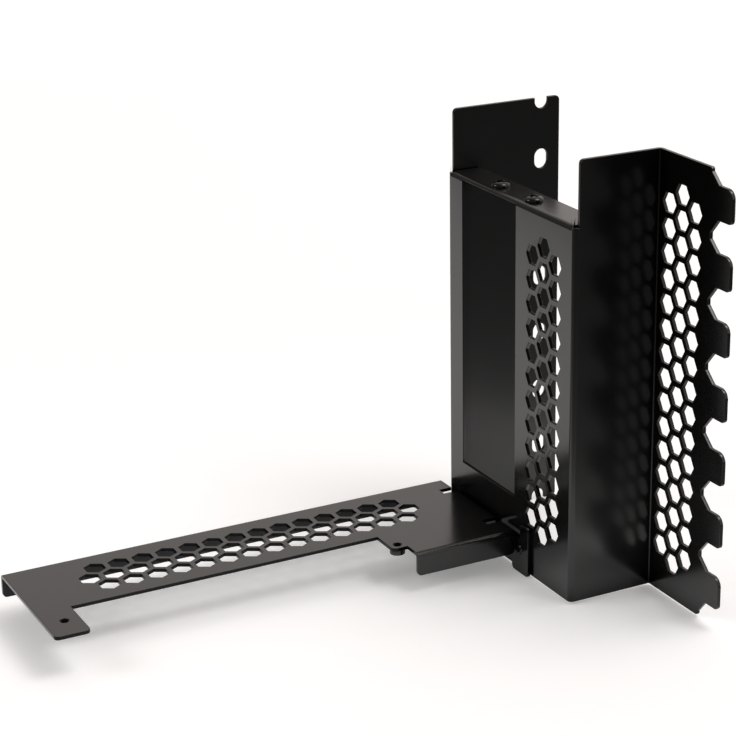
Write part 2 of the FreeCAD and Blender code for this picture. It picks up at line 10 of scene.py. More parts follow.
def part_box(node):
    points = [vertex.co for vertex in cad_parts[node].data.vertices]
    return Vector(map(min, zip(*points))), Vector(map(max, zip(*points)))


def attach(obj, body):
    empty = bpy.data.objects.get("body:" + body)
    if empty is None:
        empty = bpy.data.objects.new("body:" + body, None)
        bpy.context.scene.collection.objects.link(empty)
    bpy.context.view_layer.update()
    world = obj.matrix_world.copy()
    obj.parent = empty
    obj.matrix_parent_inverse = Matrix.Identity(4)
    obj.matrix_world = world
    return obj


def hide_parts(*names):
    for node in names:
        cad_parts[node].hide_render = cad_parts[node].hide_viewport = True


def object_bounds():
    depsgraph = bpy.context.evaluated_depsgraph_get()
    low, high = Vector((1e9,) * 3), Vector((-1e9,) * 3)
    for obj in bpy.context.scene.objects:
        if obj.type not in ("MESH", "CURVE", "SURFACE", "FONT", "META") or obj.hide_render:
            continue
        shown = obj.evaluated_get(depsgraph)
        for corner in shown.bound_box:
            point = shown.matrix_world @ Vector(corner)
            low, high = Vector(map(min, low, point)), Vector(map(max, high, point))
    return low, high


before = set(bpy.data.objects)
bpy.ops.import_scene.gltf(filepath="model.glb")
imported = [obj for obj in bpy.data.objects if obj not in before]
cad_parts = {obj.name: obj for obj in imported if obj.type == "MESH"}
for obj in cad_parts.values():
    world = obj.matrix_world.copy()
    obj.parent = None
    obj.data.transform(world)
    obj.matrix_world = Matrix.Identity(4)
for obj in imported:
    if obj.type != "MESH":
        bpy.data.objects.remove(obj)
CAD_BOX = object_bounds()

bl_info = {
    "name": "Vertical card bracket",
    "version": (1, 0, 0),
    "blender": (4, 5, 0),
    "location": "View3D > Sidebar > Card bracket",
    "description": "Dresses the packed model of a folded graphics card bracket and lights it in a studio",
    "category": "Object",
}

MM = 0.001
BODY = "root"
CARD_LOW, CARD_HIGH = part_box("card_screw_1")
CARD_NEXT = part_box("card_screw_2")[0]
TIE_LOW, TIE_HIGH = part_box("tray_screw_1")
TIE_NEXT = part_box("tray_screw_2")[0]
CARD_SOLID = 2.2 * MM        # height of a card screw's head in the CAD
PLATE_BAND = 1.3 * MM        # a little more than the thickness of the tray's plate
UPRIGHT = 0.1                # a face whose normal rises less than this stands upright

MERGE = 1e-6                 # points closer than this, in metres, become one
SLIVER = 1e-7                # edges shorter than this, in metres, are dissolved
FLAT = math.radians(0.2)     # triangles that meet at less than this are one face
FACE_WEIGHT = 50             # how far large faces keep their normals beside a rounded edge

THREAD_POINTS = 40           # points round a thread
THREAD_RINGS = 10.0          # rings of points in one turn of a thread
HEAD_POINTS = 56             # points round a screw's head
HEAD_RINGS = 12              # rings of faces from the middle of a head to its edge
HEAD_POWER = 0.8             # below 1, a head is flatter on top and steeper at its edge than a ball
ARM_FOOT, ARM_TOP = 0.62, 1.12           # width of a recess's arm at its foot and at its top
ARM_STEP = 0.1 * MM          # half the height over which an arm changes from one to the other
SUNK = 0.2 * MM              # how far a shank reaches up into its head
SLEEVE = 0.04 * MM           # how far the ring of a tapped thread reaches into the wall of its hole
THREAD_CREASE = math.radians(35.0)       # edges of screws and threads sharper than this stay sharp

PATCH_DETAIL, RIPPLE_DETAIL = 3.0, 2.0   # octaves of the finishes' noises
NOISE_LOW, NOISE_HIGH = 0.3, 0.7         # range that most of a noise lies in
COAT_PATCHES = 70.0          # soft patches of the powder coat, per metre
COAT_TONES = (0.8, 1.25)     # its darkest and palest tone, against its colour
COAT_GLOSSES = (0.88, 1.12)  # its lowest and highest roughness, against the mean
SCREW_PATCHES = 1400.0       # specks of the screws' coating, per metre
SCREW_TONES = (0.7, 1.4)
SCREW_GLOSSES = (0.8, 1.25)
FULL_LEVEL = 0.5             # specular level of a whole coat
PAINTED_SHADE_OPEN, UNSHADED_OPEN = 0.45, 0.9         # AO openness deep in an inside corner, where the painted shade is fullest, and on a free face, where it stops
PAINTED_SHADE_SAMPLES = 4
SKY_LEFT, SKY_RIGHT = -0.35, 0.3         # X of the directions between which the surroundings brighten


def size(name, description, default):
    """A length in metres that a user may change."""
    return FloatProperty(name=name, description=description, default=default, min=0.0, precision=6,
                         subtype="DISTANCE", unit="LENGTH")


def share(name, description, default, high=1.0):
    """A plain number from nothing to high."""
    return FloatProperty(name=name, description=description, default=default, min=0.0, max=high, precision=4)


def angle(name, description, degrees):
    """An angle, given in degrees."""
    return FloatProperty(name=name, description=description, default=math.radians(degrees), subtype="ANGLE",
                         unit="ROTATION")


def colour(name, description, default):
    """A linear colour."""
    return FloatVectorProperty(name=name, description=description, default=default, size=3, min=0.0, max=1.0,
                               subtype="COLOR")


def place(name, description, default):
    """Three lengths in metres: a point in the part's frame, or a length, width and depth."""
    return FloatVectorProperty(name=name, description=description, default=default, size=3, precision=6,
                               subtype="XYZ_LENGTH", unit="LENGTH")


class SheetSettings(PropertyGroup):
    """Edges and finish of the two painted sheets."""
    edge_round: size("Edge round", "Rounding that the paint leaves on a cut edge", 0.14 * MM)
    edge_steps: IntProperty(name="Edge steps", description="Faces across a rounded edge", default=2,
                            min=1, max=4)
    crease: angle("Crease", "Edges sharper than this are rounded", 28.0)
    coat_colour: colour("Coat colour", "Colour of the powder coat", (0.0018, 0.0017, 0.0017))
    coat_roughness: share("Coat roughness", "Mean roughness of the powder coat", 0.2)
    coat_ior: share("Coat gloss", "Index of refraction of the powder coat", 1.56, 3.0)
    # Painted shade on the tray's cut edges: their specular level is cut to this share, darkening them like
    # the shade that they reflect.
    edge_shade_gloss: share("Edge gloss", "Share of the gloss that thin powder keeps on the plate's cut edges", 0.3)
    # Painted shade in inside corners: within this reach, ambient occlusion lowers the coat's specular level,
    # down to this share of its gloss.
    painted_shade_reach: size("Nook reach", "How far the thinner, duller powder of an inside corner reaches", 8.0 * MM)
    painted_shade_gloss: share("Nook gloss", "Share of the gloss that is left in an inside corner", 0.12)
    grain_size: size("Grain size", "Size of the powder coat's fine ripple", 0.55 * MM)
    grain_depth: size("Grain depth", "Height of the powder coat's fine ripple", 0.0011 * MM)


class ScrewSettings(PropertyGroup):
    """Shape and finish of the pan head screws."""
    card_head: size("Card screw head", "Radius of a card screw's head", (CARD_HIGH.x - CARD_LOW.x) * 0.45)
    card_height: size("Card head height", "Height of a card screw's head", 1.7 * MM)
    card_rim: size("Card head rim", "Height of the straight rim of a card screw's head", 0.2 * MM)
    card_recess: place("Card recess", "Length, width and depth of a card screw's cross recess",
                       (3.8 * MM, 1.1 * MM, 1.1 * MM))
    card_turn: angle("Card screw turn", "How far a card screw's recess is turned", 20.0)
    card_length: size("Card screw length", "Length of a card screw's thread", 3.0 * MM)
    card_shank: size("Card screw shank", "Radius over a card screw's thread", 1.75 * MM)
    tie_head: size("Tray screw head", "Radius of a tray screw's head", (TIE_HIGH.y - TIE_LOW.y) / 2)
    tie_height: size("Tray head height", "Height of a tray screw's head", 2.0 * MM)
    tie_rim: size("Tray head rim", "Height of the straight rim of a tray screw's head", 0.45 * MM)
    tie_recess: place("Tray recess", "Length, width and depth of a tray screw's cross recess",
                      (3.0 * MM, 0.75 * MM, 1.0 * MM))
    tie_shank: size("Tray screw shank", "Radius over a tray screw's thread", 1.5 * MM)
    thread_pitch: size("Thread pitch", "Rise of a screw's thread in one turn", 0.6 * MM)
    thread_depth: size("Thread depth", "Depth of a screw's thread", 0.3 * MM)
    screw_colour: colour("Screw colour", "Colour of the screws' coating", (0.002, 0.002, 0.002))
    screw_roughness: share("Screw roughness", "Mean roughness of the screws' coating", 0.07)
    screw_ior: share("Screw gloss", "Index of refraction of the screws' coating", 1.45, 3.0)
    speck_depth: size("Speck depth", "Height of the fine specks in the screws' coating", 0.0008 * MM)


class TapSettings(PropertyGroup):
    """Threads tapped in the two riser holes."""
    first_hole: place("First riser hole", "Top of the riser hole in the inner step",
                      (-74.1 * MM, -36.9 * MM, -58.65 * MM))
    hole_pitch: size("Riser hole pitch", "Distance between the two riser holes", 111.6 * MM)
    hole_radius: size("Riser hole radius", "Radius of a riser hole", 1.5 * MM)
    hole_depth: size("Riser hole depth", "Depth of a riser hole with its collar", 2.9 * MM)
    tap_start: size("Tap start", "Depth at which the tapped thread starts", 0.2 * MM)
    tap_pitch: size("Tap pitch", "Rise of the tapped thread in one turn", 0.5 * MM)
    tap_depth: size("Tap depth", "Depth of the tapped thread", 0.25 * MM)


class StageSettings(PropertyGroup):
    """Floor, light and camera of the picture."""
    floor_half: size("Floor half", "Half of the floor's side", 8.0)
    floor_colour: colour("Floor colour", "Colour of the floor around the bracket", (0.95, 0.95, 0.95))
    floor_glow: share("Floor glow", "How far the floor's own white shows through the shadow", 0.24)
    far_glow: share("Far glow", "The same far behind the bracket, where less lamp light falls", 0.5)
    glow_near: size("Glow near", "Distance behind the slot screws where the glow begins to change", 0.2)
    glow_far: size("Glow far", "Distance behind the slot screws where the far glow is reached", 1.0)
    # Edges of the floor's painted pool of light; beyond them its colour darkens as painted shade.
    pool_right: size("Paper right", "Distance from the slot screws to the paper's right edge", 0.0693)
    pool_front: size("Paper front", "Distance from the slot screws to the paper's front edge", 0.1677)
    pool_left: size("Paper left", "Distance from the slot screws to the paper's left edge", 0.225)
    right_heading: angle("Right heading", "Way out over the right edge, from -Y towards +X", 54.1)
    front_heading: angle("Front heading", "Way out over the front edge, from -Y towards +X", -29.3)
    left_heading: angle("Left heading", "Way out over the left edge, from -Y towards +X", -85.0)
    # How the floor's painted shade beyond the pool's edges falls off.
    half_dark: size("Half dark", "Distance beyond an edge at which half of the paleness is lost", 0.022)
    far_pale: share("Far pale", "Share of its paleness that the floor keeps far beyond the paper", 0.08)
    sky_colour: colour("Sky colour", "Colour of the pale surroundings", (1.0, 0.93, 0.9))
    sky: share("Sky", "Strength of the pale surroundings at the right", 0.85, 2.0)
    left_sky: share("Left sky", "Share of that strength at the left", 0.25)
    top_light: share("Top light", "Power of the soft box overhead, in watts", 3.8, 100.0)
    top_place: place("Top box place", "Where the soft box overhead hangs", (0.35, -0.3, 0.95))
    side_light: share("Side light", "Power of the soft box at the left, in watts", 2.5, 100.0)
    side_place: place("Side box place", "Where the soft box at the left stands", (-0.9, 0.25, 0.6))
    box_side: size("Soft box side", "Side of a square soft box", 0.5)
    lamp_aim: place("Lamp aim", "Point that both soft boxes face", (-0.05, -0.05, 0.0))
    camera_place: place("Camera place", "Where the camera stands", (-0.371509, -0.611532, 0.232281))
    camera_heading: angle("Camera heading", "Turn of the camera from the +Y axis towards +X", 28.2455)
    camera_fall: angle("Camera fall", "How far the camera looks down", 19.0426)
    camera_roll: angle("Camera roll", "Turn of the camera about its own axis", -0.5028)
    camera_lens: FloatProperty(name="Lens", description="Focal length on a 36 mm sensor, in millimetres",
                               default=108.193)
    camera_shift: FloatVectorProperty(name="Shift", description="Offset of the picture from the optical axis",
                                      size=2, default=(-0.07986, -0.03254))


def new_object(name, mesh):
    """A piece at the origin, in the scene's collection."""
    piece = bpy.data.objects.new(name, mesh)
    bpy.context.scene.collection.objects.link(piece)
    return piece


def add(tree, kind, inputs=None, **settings):
    """A node with its settings and its inputs, each a value or a socket to link."""
    made = tree.nodes.new(kind)
    for key, value in settings.items():
        setattr(made, key, value)
    for key, value in (inputs or {}).items():
        if isinstance(value, bpy.types.NodeSocket):
            tree.links.new(value, made.inputs[key])
        else:
            made.inputs[key].default_value = value
    return made


def maths(tree, operation, *values):
    """One Math node's result."""
    return add(tree, "ShaderNodeMath", dict(enumerate(values)), operation=operation).outputs[0]


def joined(tree, x, y, z):
    """A vector of three numbers."""
    return add(tree, "ShaderNodeCombineXYZ", {0: x, 1: y, 2: z}).outputs[0]


def point_place(tree):
    """The X, Y and Z of each point of a geometry."""
    where = tree.nodes.new("GeometryNodeInputPosition").outputs[0]
    return add(tree, "ShaderNodeSeparateXYZ", {0: where}).outputs


def along(tree, where, direction):
    """How far a place lies along a direction."""
    product = add(tree, "ShaderNodeVectorMath", {0: where, 1: direction}, operation="DOT_PRODUCT")
    return product.outputs["Value"]


def new_tree(name, inputs):
    """An empty geometry tree with named inputs, its input node and its output node."""
    tree = bpy.data.node_groups.new(name, "GeometryNodeTree")
    for label, kind in inputs:
        tree.interface.new_socket(label, in_out="INPUT", socket_type="NodeSocket" + kind)
    tree.interface.new_socket("Geometry", in_out="OUTPUT", socket_type="NodeSocketGeometry")
    return tree, tree.nodes.new("NodeGroupInput").outputs, tree.nodes.new("NodeGroupOutput").inputs


def end_in_row(tree, given, out, shape, start):
    """Ends a tree with a row of its shape, made plain geometry in its finish."""
    row = add(tree, "GeometryNodeMeshLine", {"Count": given["Count"], "Start Location": start,
                                             "Offset": given["Step"]}, mode="OFFSET")
    placed = add(tree, "GeometryNodeInstanceOnPoints", {"Points": row.outputs[0], "Instance": shape})
    plain = add(tree, "GeometryNodeRealizeInstances", {0: placed.outputs[0]})
    dressed = add(tree, "GeometryNodeSetMaterial", {"Geometry": plain.outputs[0],
                                                    "Material": given["Finish"]})
    tree.links.new(dressed.outputs[0], out[0])


def made_by(tree, name, values):
    """The plain mesh that a tree gives for these named inputs, as a piece at the origin."""
    piece = new_object(name, bpy.data.meshes.new(name + "_start"))
    modifier = piece.modifiers.new(name, "NODES")
    modifier.node_group = tree
    for item in tree.interface.items_tree:
        if item.in_out == "INPUT":
            modifier[item.identifier] = values[item.name]
    graph = bpy.context.evaluated_depsgraph_get()
    mesh = bpy.data.meshes.new_from_object(piece.evaluated_get(graph), depsgraph=graph)
    start = piece.data
    piece.modifiers.remove(modifier)
    piece.data = mesh
    bpy.data.meshes.remove(start)
    mesh.name = name
    if not mesh.polygons:
        raise RuntimeError(name + " came out empty")
    return piece


def closed_and_smooth(piece, crease):
    """Merges the doubles of a made mesh, points its faces outwards and smooths all but its creases."""
    work = bmesh.new()
    work.from_mesh(piece.data)
    bmesh.ops.remove_doubles(work, verts=work.verts, dist=MERGE)
    bmesh.ops.dissolve_degenerate(work, edges=work.edges, dist=SLIVER)
    bmesh.ops.recalc_face_normals(work, faces=work.faces)
    for face in work.faces:
        face.smooth = True
    work.to_mesh(piece.data)
    work.free()
    piece.data.set_sharp_from_angle(angle=crease)


def uneven_finish(name, tone, tones, roughness, glosses, patches):
    """A material whose colour and roughness change in soft patches, with its coordinates and its patches."""
    material = bpy.data.materials.new(name)
    material.use_nodes = True
    tree = material.node_tree
    shader = tree.nodes["Principled BSDF"]
    where = tree.nodes.new("ShaderNodeTexCoord").outputs["Object"]
    patch = add(tree, "ShaderNodeTexNoise", {"Vector": where, "Scale": patches,
                                             "Detail": PATCH_DETAIL}).outputs[0]
    tint = add(tree, "ShaderNodeValToRGB", {"Fac": patch})
    for stop, factor in zip(tint.color_ramp.elements, tones):
        stop.color = (*(Vector(tone) * factor), 1)
    gloss = add(tree, "ShaderNodeMapRange", {0: patch, 1: NOISE_LOW, 2: NOISE_HIGH,
                                             3: roughness * glosses[0], 4: roughness * glosses[1]})
    tree.links.new(tint.outputs[0], shader.inputs["Base Color"])
    tree.links.new(gloss.outputs[0], shader.inputs["Roughness"])
    return material, where, patch


def raised(material, height, distance):
    """Gives a material's shader the bump of a height."""
    tree = material.node_tree
    bump = add(tree, "ShaderNodeBump", {"Strength": 1.0, "Distance": distance, "Height": height})
    tree.links.new(bump.outputs[0], tree.nodes["Principled BSDF"].inputs["Normal"])


def powder_coat(look, name="satin_powder_coat", cover=1.0, shade_cover=None):
    """Satin black powder coat with a fine ripple and small changes in tone, and painted shade in inside
    corners, where ambient occlusion lowers its specular level.
    """
    material, where, _ = uneven_finish(name, look.coat_colour, COAT_TONES, look.coat_roughness, COAT_GLOSSES,
                                       COAT_PATCHES)
    tree = material.node_tree
    shader = tree.nodes["Principled BSDF"]
    ripple = add(tree, "ShaderNodeTexNoise", {"Vector": where, "Scale": 1 / look.grain_size,
                                              "Detail": RIPPLE_DETAIL})
    raised(material, ripple.outputs[0], look.grain_depth)
    shader.inputs["IOR"].default_value = look.coat_ior
    full = FULL_LEVEL * cover
    shader.inputs["Specular IOR Level"].default_value = full
    shade_cover = look.painted_shade_gloss if shade_cover is None else shade_cover
    if shade_cover < 1.0:
        # Painted shade: ambient occlusion dims the coat's reflection in inside corners and near the floor,
        # where shade falls.
        corner_shade = add(tree, "ShaderNodeAmbientOcclusion", {"Distance": look.painted_shade_reach}, samples=PAINTED_SHADE_SAMPLES)
        level = add(tree, "ShaderNodeMapRange", {0: corner_shade.outputs["AO"], 1: PAINTED_SHADE_OPEN, 2: UNSHADED_OPEN,
                                                 3: full * shade_cover, 4: full})
        tree.links.new(level.outputs[0], shader.inputs["Specular IOR Level"])
    return material


def shaded_edge_coat(look):
    """The same powder with its specular level lowered on the tray's cut edges, as painted shade that darkens
    them.
    """
    return powder_coat(look, "shaded_edge_coat", look.edge_shade_gloss)


def tapped_coat(look):
    """The same powder on a tapped thread, without the painted shade of inside corners, so that it shines deep
    in the hole too.
    """
    return powder_coat(look, "tapped_coat", 1.0, 1.0)


def black_screw(look):
    """Gloss black coating of the screws, a little uneven from tumbling."""
    material, _, speck = uneven_finish("gloss_screw_black", look.screw_colour, SCREW_TONES,
                                       look.screw_roughness, SCREW_GLOSSES, SCREW_PATCHES)
    raised(material, speck, look.speck_depth)
    material.node_tree.nodes["Principled BSDF"].inputs["IOR"].default_value = look.screw_ior
    return material


def finish_named(name, make, look):
    """The finish of that name, made the first time it is asked for."""
    return bpy.data.materials.get(name) or make(look)


def painted_sheet(node, name, look, plate_top=None):
    """Copy of a CAD sheet with its triangles merged into whole faces and its cut edges rounded by paint.

    The upright faces in the thickness of a plate whose top is given get the darker edge coat, painted shade
    on a cut edge.
    """
    work = bmesh.new()
    work.from_mesh(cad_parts[node].data)
    bmesh.ops.remove_doubles(work, verts=work.verts, dist=MERGE)
    bmesh.ops.dissolve_limit(work, angle_limit=FLAT, verts=work.verts, edges=work.edges)
    for face in work.faces:
        face.smooth = True
        foot = min(corner.co.z for corner in face.verts)
        upright = abs(face.normal.z) < UPRIGHT
        # Painted shade: these cut-edge faces take the darker edge coat.
        face.material_index = int(plate_top is not None and upright and foot > plate_top - PLATE_BAND)
    mesh = bpy.data.meshes.new(name)
    work.to_mesh(mesh)
    work.free()
    if "custom_normal" in mesh.attributes:
        mesh.attributes.remove(mesh.attributes["custom_normal"])
    mesh.materials.append(finish_named("satin_powder_coat", powder_coat, look))
    if plate_top is not None:
        mesh.materials.append(finish_named("shaded_edge_coat", shaded_edge_coat, look))
    piece = new_object(name, mesh)
    rounding = piece.modifiers.new("edge_round", "BEVEL")
    rounding.limit_method = "ANGLE"
    rounding.angle_limit = look.crease
    rounding.width = look.edge_round
    rounding.segments = look.edge_steps
    rounding.use_clamp_overlap = False
    flat = piece.modifiers.new("flat_faces", "WEIGHTED_NORMAL")
    flat.mode = "FACE_AREA"
    flat.weight = FACE_WEIGHT
    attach(piece, BODY)
    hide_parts(node)
    return piece


def threaded_rod():
    """Tree of a rod along Z, from the origin downwards, with a thread whose crests keep the radius."""
    tree, given, out = new_tree("threaded_rod", [
        ("Radius", "Float"), ("Length", "Float"), ("Pitch", "Float"), ("Depth", "Float"), ("Fade", "Float")])
    turns = maths(tree, "DIVIDE", given["Length"], given["Pitch"])
    rings = maths(tree, "CEIL", maths(tree, "MULTIPLY", turns, THREAD_RINGS))
    rod = add(tree, "GeometryNodeMeshCylinder", {
        "Vertices": THREAD_POINTS, "Side Segments": rings, "Radius": given["Radius"],
        "Depth": given["Length"]})
    spot = point_place(tree)
    below = maths(tree, "SUBTRACT", maths(tree, "MULTIPLY", given["Length"], 0.5), spot["Z"])
    turn = maths(tree, "DIVIDE", maths(tree, "ARCTAN2", spot["Y"], spot["X"]), 2 * math.pi)
    phase = maths(tree, "ADD", maths(tree, "DIVIDE", below, given["Pitch"]), turn)
    wave = maths(tree, "PINGPONG", phase, 0.5)
    groove = maths(tree, "MULTIPLY", wave, maths(tree, "MULTIPLY", given["Depth"], 2.0))
    room = maths(tree, "MINIMUM", below, maths(tree, "SUBTRACT", given["Length"], below))
    start = add(tree, "ShaderNodeMapRange", {0: room, 1: 0.0, 2: given["Fade"], 3: 1.0, 4: 0.0}).outputs[0]
    taper = maths(tree, "MAXIMUM", groove, maths(tree, "MULTIPLY", start, given["Depth"]))
    inward = maths(tree, "SUBTRACT", 1.0, maths(tree, "DIVIDE", taper, given["Radius"]))
    moved = joined(tree, maths(tree, "MULTIPLY", spot["X"], inward),
                   maths(tree, "MULTIPLY", spot["Y"], inward), maths(tree, "MULTIPLY", below, -1.0))
    shaped = add(tree, "GeometryNodeSetPosition", {"Geometry": rod.outputs["Mesh"], "Position": moved})
    tree.links.new(shaped.outputs[0], out[0])
    return tree


def domed_head(tree, given):
    """A head whose foot is flat and whose top is domed above a low rim."""
    blank = add(tree, "GeometryNodeMeshCylinder", {
        "Vertices": HEAD_POINTS, "Side Segments": 1, "Fill Segments": HEAD_RINGS,
        "Radius": given["Head Radius"], "Depth": 1.0})
    spot = point_place(tree)
    reach = maths(tree, "SQRT", maths(tree, "ADD", maths(tree, "MULTIPLY", spot["X"], spot["X"]),
                                      maths(tree, "MULTIPLY", spot["Y"], spot["Y"])))
    out_to_edge = maths(tree, "MINIMUM", maths(tree, "DIVIDE", reach, given["Head Radius"]), 1.0)
    lean = maths(tree, "MULTIPLY", out_to_edge, math.pi / 2)
    out_share = maths(tree, "POWER", maths(tree, "SINE", lean), HEAD_POWER)
    up_share = maths(tree, "POWER", maths(tree, "MAXIMUM", maths(tree, "COSINE", lean), 0.0), HEAD_POWER)
    spread = maths(tree, "DIVIDE", maths(tree, "MULTIPLY", out_share, given["Head Radius"]),
                   maths(tree, "MAXIMUM", reach, SLIVER))
    dome = maths(tree, "SUBTRACT", given["Head Height"], given["Rim"])
    crown = maths(tree, "ADD", given["Rim"], maths(tree, "MULTIPLY", up_share, dome))
    dome_spot = joined(tree, maths(tree, "MULTIPLY", spot["X"], spread),
                       maths(tree, "MULTIPLY", spot["Y"], spread), crown)
    foot_spot = joined(tree, spot["X"], spot["Y"], 0.0)
    is_top = maths(tree, "GREATER_THAN", spot["Z"], 0.0)
    choice = add(tree, "GeometryNodeSwitch", {0: is_top, 1: foot_spot, 2: dome_spot}, input_type="VECTOR")
    return add(tree, "GeometryNodeSetPosition", {"Geometry": blank.outputs["Mesh"],
                                                 "Position": choice.outputs[0]}).outputs[0]


def recess_arm(tree, given, across):
    """One tapered arm of the cross recess, at the top of the head."""
    long, thin = given["Recess Reach"], given["Recess Width"]
    extent = joined(tree, thin if across else long, long if across else thin,
                    maths(tree, "MULTIPLY", given["Recess Depth"], 2.0))
    arm = add(tree, "GeometryNodeMeshCube", {"Size": extent})
    at = point_place(tree)
    narrow = add(tree, "ShaderNodeMapRange", {0: at["Z"], 1: -ARM_STEP, 2: ARM_STEP,
                                              3: ARM_FOOT, 4: ARM_TOP}).outputs[0]
    tapered = joined(tree, maths(tree, "MULTIPLY", at["X"], narrow), maths(tree, "MULTIPLY", at["Y"], narrow),
                     maths(tree, "ADD", at["Z"], given["Head Height"]))
    return add(tree, "GeometryNodeSetPosition", {"Geometry": arm.outputs["Mesh"],
                                                 "Position": tapered}).outputs[0]


def pan_head_screws():
    """Tree of a row of pan head screws: domed head with a cross recess on a threaded shank."""
    tree, given, out = new_tree("pan_head_screws", [
        ("Count", "Int"), ("Seat", "Vector"), ("Step", "Vector"), ("Turn", "Vector"),
        ("Head Radius", "Float"), ("Head Height", "Float"), ("Rim", "Float"),
        ("Recess Reach", "Float"), ("Recess Width", "Float"), ("Recess Depth", "Float"),
        ("Shank Radius", "Float"), ("Shank Length", "Float"),
        ("Thread Pitch", "Float"), ("Thread Depth", "Float"), ("Finish", "Material")])
    head = domed_head(tree, given)
    arms = [recess_arm(tree, given, across) for across in (False, True)]
    cut = add(tree, "GeometryNodeMeshBoolean", {0: head}, operation="DIFFERENCE", solver="EXACT")
    for arm in arms:
        tree.links.new(arm, cut.inputs[1])

    shank = add(tree, "GeometryNodeGroup", node_tree=bpy.data.node_groups["threaded_rod"])
    for label, value in (("Radius", given["Shank Radius"]), ("Length", given["Shank Length"]),
                         ("Pitch", given["Thread Pitch"]), ("Depth", given["Thread Depth"]),
                         ("Fade", given["Thread Pitch"])):
        tree.links.new(value, shank.inputs[label])
    sunk = add(tree, "GeometryNodeTransform", {"Geometry": shank.outputs[0], "Translation": (0, 0, SUNK)})
    whole = add(tree, "GeometryNodeMeshBoolean", operation="UNION", solver="EXACT")
    tree.links.new(cut.outputs[0], whole.inputs[1])
    tree.links.new(sunk.outputs[0], whole.inputs[1])
    turned = add(tree, "GeometryNodeTransform", {"Geometry": whole.outputs[0], "Rotation": given["Turn"]})
    end_in_row(tree, given, out, turned.outputs[0], given["Seat"])
    return tree


def tapped_rings():
    """Tree of a row of thin rings with a thread inside, which line the tapped holes."""
    tree, given, out = new_tree("tapped_rings", [
        ("Count", "Int"), ("Top", "Vector"), ("Step", "Vector"), ("Hole Radius", "Float"), ("Depth", "Float"),
        ("Thread Pitch", "Float"), ("Thread Depth", "Float"), ("Finish", "Material")])
    sleeve = add(tree, "GeometryNodeMeshCylinder", {
        "Vertices": THREAD_POINTS, "Radius": maths(tree, "ADD", given["Hole Radius"], SLEEVE),
        "Depth": given["Depth"]})
    down = joined(tree, 0.0, 0.0, maths(tree, "MULTIPLY", given["Depth"], -0.5))
    lowered = add(tree, "GeometryNodeTransform", {"Geometry": sleeve.outputs["Mesh"], "Translation": down})
    tap = add(tree, "GeometryNodeGroup", node_tree=bpy.data.node_groups["threaded_rod"])
    tap.inputs["Fade"].default_value = 0.0
    for label, value in (("Radius", given["Hole Radius"]),
                         ("Length", maths(tree, "MULTIPLY", given["Depth"], 2.0)),
                         ("Pitch", given["Thread Pitch"]), ("Depth", given["Thread Depth"])):
        tree.links.new(value, tap.inputs[label])
    up = joined(tree, 0.0, 0.0, maths(tree, "MULTIPLY", given["Depth"], 0.5))
    lifted = add(tree, "GeometryNodeTransform", {"Geometry": tap.outputs[0], "Translation": up})
    ring = add(tree, "GeometryNodeMeshBoolean", {0: lowered.outputs[0]}, operation="DIFFERENCE",
               solver="EXACT")
    tree.links.new(lifted.outputs[0], ring.inputs[1])
    end_in_row(tree, given, out, ring.outputs[0], given["Top"])
    return tree


def tree_named(name, make):
    """The geometry tree of that name, made the first time it is asked for."""
    return bpy.data.node_groups.get(name) or make()


def screw_row(name, nodes, recess, values):
    """A row of two screws that stands for two CAD screws."""
    look = bpy.context.scene.card_bracket_screws
    tree_named("threaded_rod", threaded_rod)
    tree = tree_named("pan_head_screws", pan_head_screws)
    piece = made_by(tree, name, {
        "Count": 2, "Thread Pitch": look.thread_pitch, "Thread Depth": look.thread_depth,
        "Recess Reach": recess[0], "Recess Width": recess[1], "Recess Depth": recess[2],
        "Finish": finish_named("gloss_screw_black", black_screw, look), **values})
    closed_and_smooth(piece, THREAD_CREASE)
    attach(piece, BODY)
    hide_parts(*nodes)


class BRACKET_OT_bracket_sheet(Operator):
    """Dress the folded slot bracket"""
    bl_idname = "card_bracket.bracket_sheet"
    bl_label = "Bracket sheet"

    def execute(self, context):
        painted_sheet("slot_bracket", "bracket_sheet", context.scene.card_bracket_sheets)
        return {"FINISHED"}


class BRACKET_OT_tray_sheet(Operator):
    """Dress the folded riser tray"""
    bl_idname = "card_bracket.tray_sheet"
    bl_label = "Tray sheet"

    def execute(self, context):
        painted_sheet("riser_tray", "tray_sheet", context.scene.card_bracket_sheets,
                      context.scene.card_bracket_taps.first_hole[2])
        return {"FINISHED"}


class BRACKET_OT_card_screws(Operator):
    """Make the two card screws in the top flange"""
    bl_idname = "card_bracket.card_screws"
    bl_label = "Card screws"

    def execute(self, context):
        look = context.scene.card_bracket_screws
        seat = (CARD_LOW + CARD_HIGH) / 2
        seat.z = CARD_HIGH.z - CARD_SOLID
        screw_row("card_screws", ("card_screw_1", "card_screw_2"), look.card_recess, {
            "Seat": seat, "Step": CARD_NEXT - CARD_LOW, "Turn": (0.0, 0.0, look.card_turn),
            "Head Radius": look.card_head, "Head Height": look.card_height, "Rim": look.card_rim,
            "Shank Radius": look.card_shank, "Shank Length": look.card_length})
        return {"FINISHED"}


class BRACKET_OT_tray_screws(Operator):
    """Make the two screws that hold the tray to the front face"""
    bl_idname = "card_bracket.tray_screws"
    bl_label = "Tray screws"

    def execute(self, context):
        look = context.scene.card_bracket_screws
        seat = (TIE_LOW + TIE_HIGH) / 2
        seat.x = TIE_HIGH.x - look.tie_height
        screw_row("tray_screws", ("tray_screw_1", "tray_screw_2"), look.tie_recess, {
            "Seat": seat, "Step": TIE_NEXT - TIE_LOW, "Turn": (0.0, math.pi / 2, 0.0),
            "Head Radius": look.tie_head, "Head Height": look.tie_height, "Rim": look.tie_rim,
            "Shank Radius": look.tie_shank, "Shank Length": seat.x - TIE_LOW.x + SUNK})
        return {"FINISHED"}


